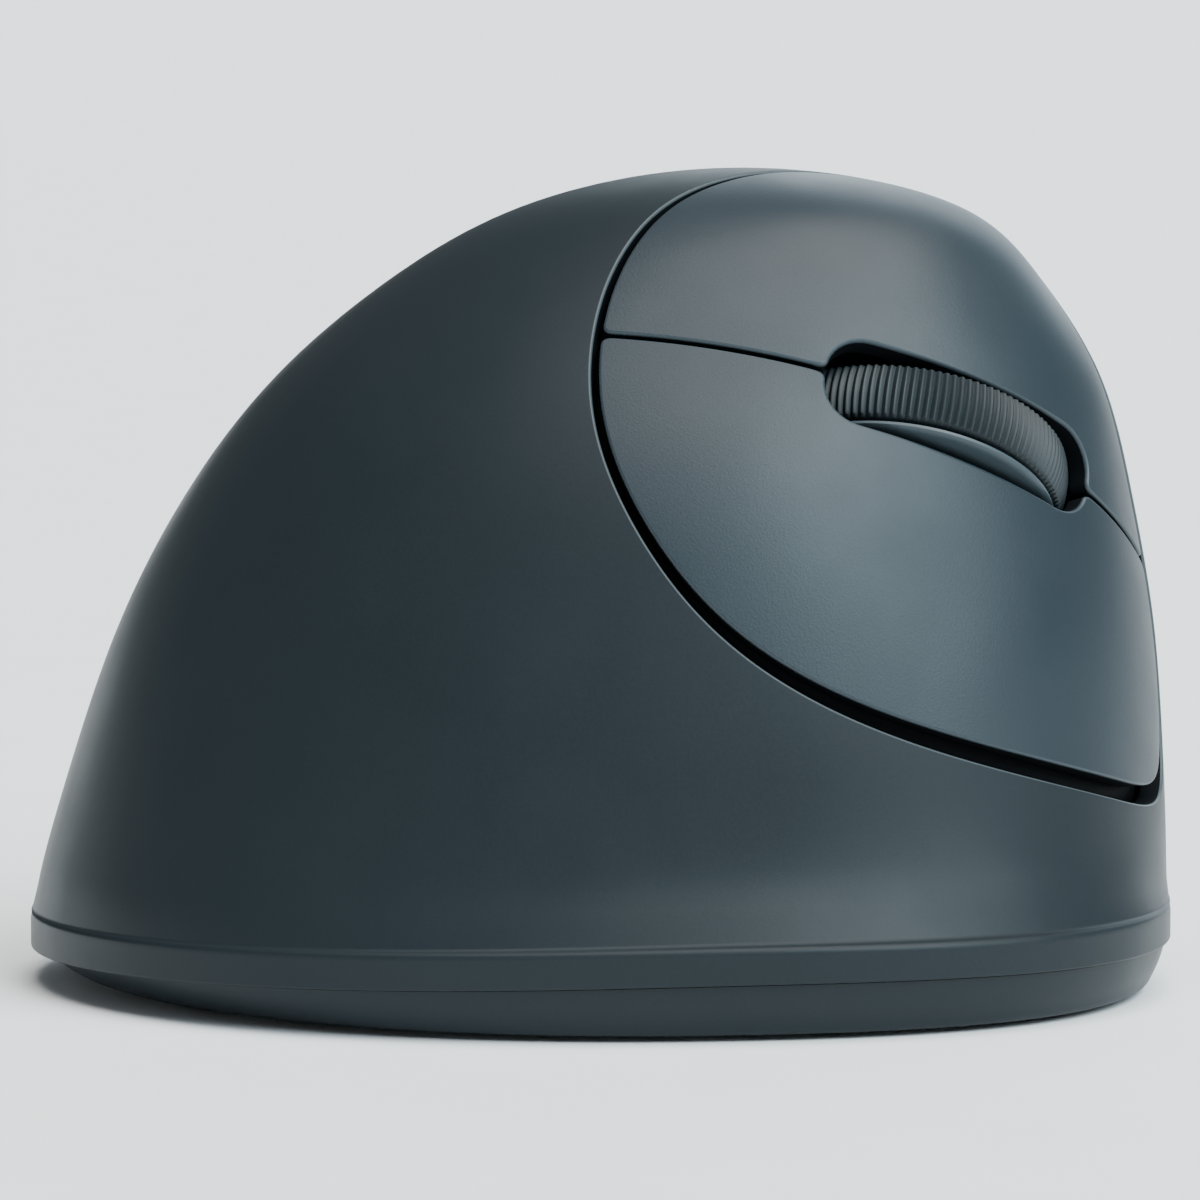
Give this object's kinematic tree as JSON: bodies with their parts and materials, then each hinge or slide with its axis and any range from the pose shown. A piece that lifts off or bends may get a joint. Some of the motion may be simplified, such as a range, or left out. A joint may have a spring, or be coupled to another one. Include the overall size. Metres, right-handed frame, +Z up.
{
  "type": "vertical computer mouse",
  "caption": "Right-handed vertical wireless mouse: a domed palm rest, split finger buttons with a ribbed scroll wheel on the side face, thumb buttons and a flat base",
  "frame": {"origin": "on the desk, under the middle of the mouse's bounding box", "axes": "+Z up, +Y the way the fingers point, +X towards the finger side"},
  "size_m": [0.0748, 0.0961, 0.068],
  "materials": {
    "shell": "soft-touch matt dark slate, fine grain",
    "button": "soft-touch matt dark slate, fine grain",
    "rubber": "ribbed dark rubber",
    "hub": "smooth satin slate plastic",
    "frame": "black moulded plastic",
    "switch": "black switch housing",
    "plunger": "red switch plunger",
    "board": "green solder mask",
    "chip": "black moulded package",
    "lens": "clear moulded lens",
    "steel": "plated steel",
    "battery": "printed steel can without any text",
    "glide": "slippery pale glide pad",
    "ribbon": "flat cable"
  },
  "bodies": {
    "body": {"palm_shell": "shell", "thumb_shell": "shell", "base_plate": "shell", "button_bracket": "frame", "battery_holder": "frame", "index_switch_body": "switch", "middle_switch_body": "switch", "wheel_switch_body": "switch", "back_switch_body": "switch", "forward_switch_body": "switch", "dpi_switch_body": "switch", "power_switch_body": "switch", "main_board": "board", "button_board": "board", "thumb_board": "board", "controller_chip": "chip", "optical_sensor": "chip", "sensor_lens": "lens", "button_hinge_pin": "steel", "carrier_pivot_pin": "steel", "crystal_can": "steel", "battery_spring": "steel", "battery_contact": "steel", "case_screw_front_right": "steel", "case_screw_rear_right": "steel", "case_screw_front_left": "steel", "case_screw_rear_left": "steel", "battery": "battery", "glide_foot_front": "glide", "glide_foot_right": "glide", "glide_foot_left": "glide", "glide_foot_rear": "glide", "ribbon_cable": "ribbon"},
    "index_button": {"index_button": "button"},
    "middle_button": {"middle_button": "button"},
    "wheel_carrier": {"wheel_carrier": "frame", "encoder_housing": "chip"},
    "scroll_wheel": {"wheel_tyre": "rubber", "wheel_hub": "hub", "wheel_axle": "steel", "encoder_rotor": "chip"},
    "back_button": {"back_button": "button"},
    "forward_button": {"forward_button": "button"},
    "dpi_button": {"dpi_button": "hub"},
    "power_slider": {"power_slider": "hub"},
    "battery_door": {"battery_door": "shell"},
    "receiver": {"receiver_grip": "hub", "receiver_plug": "steel"},
    "index_plunger": {"index_switch_plunger": "plunger"},
    "middle_plunger": {"middle_switch_plunger": "plunger"},
    "wheel_plunger": {"wheel_switch_plunger": "plunger"},
    "back_plunger": {"back_switch_plunger": "plunger"},
    "forward_plunger": {"forward_switch_plunger": "plunger"},
    "dpi_plunger": {"dpi_switch_plunger": "plunger"}
  },
  "joints": [
    {"name": "index_press", "type": "hinge", "parent": "body", "child": "index_button", "pos_m": [0.00903, 0.00351, 0.04965], "axis": [-0.5464, 0.1008, 0.8314], "range_deg": [0, 0.7], "stiffness_Nm_per_rad": 1},
    {"name": "middle_press", "type": "hinge", "parent": "body", "child": "middle_button", "pos_m": [0.00903, 0.00351, 0.04965], "axis": [-0.5464, 0.1008, 0.8314], "range_deg": [0, 0.7], "stiffness_Nm_per_rad": 1},
    {"name": "wheel_click", "type": "hinge", "parent": "body", "child": "wheel_carrier", "pos_m": [-0.00564, 0.03717, 0.03593], "axis": [0.5464, -0.1008, -0.8314], "range_deg": [0, 0.8], "stiffness_Nm_per_rad": 1.5},
    {"name": "wheel_turn", "type": "hinge", "parent": "wheel_carrier", "child": "scroll_wheel", "pos_m": [0.00341, 0.02583, 0.04325], "axis": [-0.5464, 0.1008, 0.8314], "continuous": true},
    {"name": "back_press", "type": "slide", "parent": "body", "child": "back_button", "axis": [1, 0, 0], "range_m": [0, 0.0005], "stiffness_N_per_m": 1500},
    {"name": "forward_press", "type": "slide", "parent": "body", "child": "forward_button", "axis": [1, 0, 0], "range_m": [0, 0.0005], "stiffness_N_per_m": 1500},
    {"name": "dpi_press", "type": "slide", "parent": "body", "child": "dpi_button", "axis": [0, 0, 1], "range_m": [0, 0.0004], "stiffness_N_per_m": 1500},
    {"name": "power_slide", "type": "slide", "parent": "body", "child": "power_slider", "axis": [0, 1, 0], "range_m": [0, 0.003]},
    {"name": "battery_door_swing", "type": "hinge", "parent": "body", "child": "battery_door", "pos_m": [-0.0124, -0.0276, 0.00055], "axis": [-1, 0, 0], "range_deg": [0, 100]},
    {"name": "receiver_pull", "type": "slide", "parent": "body", "child": "receiver", "axis": [0, 0, -1], "range_m": [0, 0.02]},
    {"name": "index_plunger_slide", "type": "slide", "parent": "body", "child": "index_plunger", "axis": [-0.7483, -0.5047, -0.4305], "range_m": [0, 0.0004]},
    {"name": "middle_plunger_slide", "type": "slide", "parent": "body", "child": "middle_plunger", "axis": [-0.7483, -0.5047, -0.4305], "range_m": [0, 0.0004]},
    {"name": "wheel_plunger_slide", "type": "slide", "parent": "body", "child": "wheel_plunger", "axis": [-0.7483, -0.5047, -0.4305], "range_m": [0, 0.0006]},
    {"name": "back_plunger_slide", "type": "slide", "parent": "body", "child": "back_plunger", "axis": [1, 0, 0], "range_m": [0, 0.0005]},
    {"name": "forward_plunger_slide", "type": "slide", "parent": "body", "child": "forward_plunger", "axis": [1, 0, 0], "range_m": [0, 0.0005]},
    {"name": "dpi_plunger_slide", "type": "slide", "parent": "body", "child": "dpi_plunger", "axis": [0, 0, 1], "range_m": [0, 0.0004]}
  ],
  "couplings": [
    {"joint": "index_plunger_slide", "follows": "index_press", "m_per_rad": 0.024},
    {"joint": "middle_plunger_slide", "follows": "middle_press", "m_per_rad": 0.026},
    {"joint": "wheel_plunger_slide", "follows": "wheel_click", "m_per_rad": 0.0351},
    {"joint": "back_plunger_slide", "follows": "back_press", "ratio": 1},
    {"joint": "forward_plunger_slide", "follows": "forward_press", "ratio": 1},
    {"joint": "dpi_plunger_slide", "follows": "dpi_press", "ratio": 1}
  ]
}
